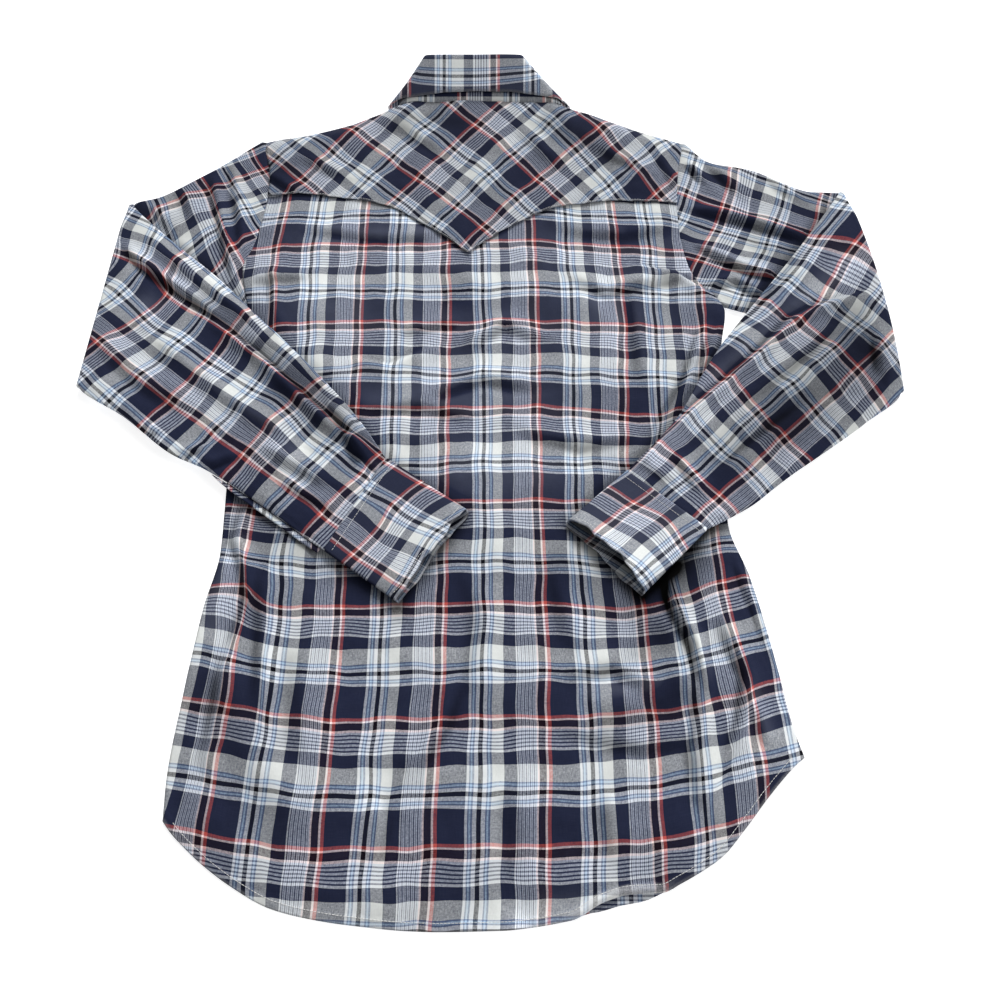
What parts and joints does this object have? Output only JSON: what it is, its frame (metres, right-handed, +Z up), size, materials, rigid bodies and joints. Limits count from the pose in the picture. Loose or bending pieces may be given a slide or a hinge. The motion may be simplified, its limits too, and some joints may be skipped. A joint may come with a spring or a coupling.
{
  "type": "western snap shirt",
  "caption": "Long-sleeved western shirt laid flat, back up, sleeves folded over the back: pointed back yoke, turned-down collar, cuffs and curved hem, closed by pearl snaps beneath.",
  "frame": {"origin": "middle of the laid shirt's box, on the surface that it rests on", "axes": "+Z up out of the surface through the shirt's back; +Y from the hem to the collar; +X towards the wearer's right sleeve"},
  "size_m": [0.7617, 0.8466, 0.0305],
  "materials": {
    "shirting": "woven check, soft matt",
    "pearl": "pearl"
  },
  "bodies": {
    "root": {"back_panel": "shirting", "back_yoke": "shirting", "front_left": "shirting", "front_right": "shirting", "front_band": "shirting", "collar_stand": "shirting", "collar_leaf": "shirting", "sleeve_left": "shirting", "sleeve_right": "shirting", "cuff_left": "shirting", "cuff_right": "shirting", "slit_binding_left": "shirting", "snap_1": "pearl", "snap_2": "pearl", "snap_3": "pearl", "snap_4": "pearl", "snap_5": "pearl", "snap_6": "pearl", "snap_7": "pearl", "snap_neck": "pearl"}
  },
  "joints": []
}
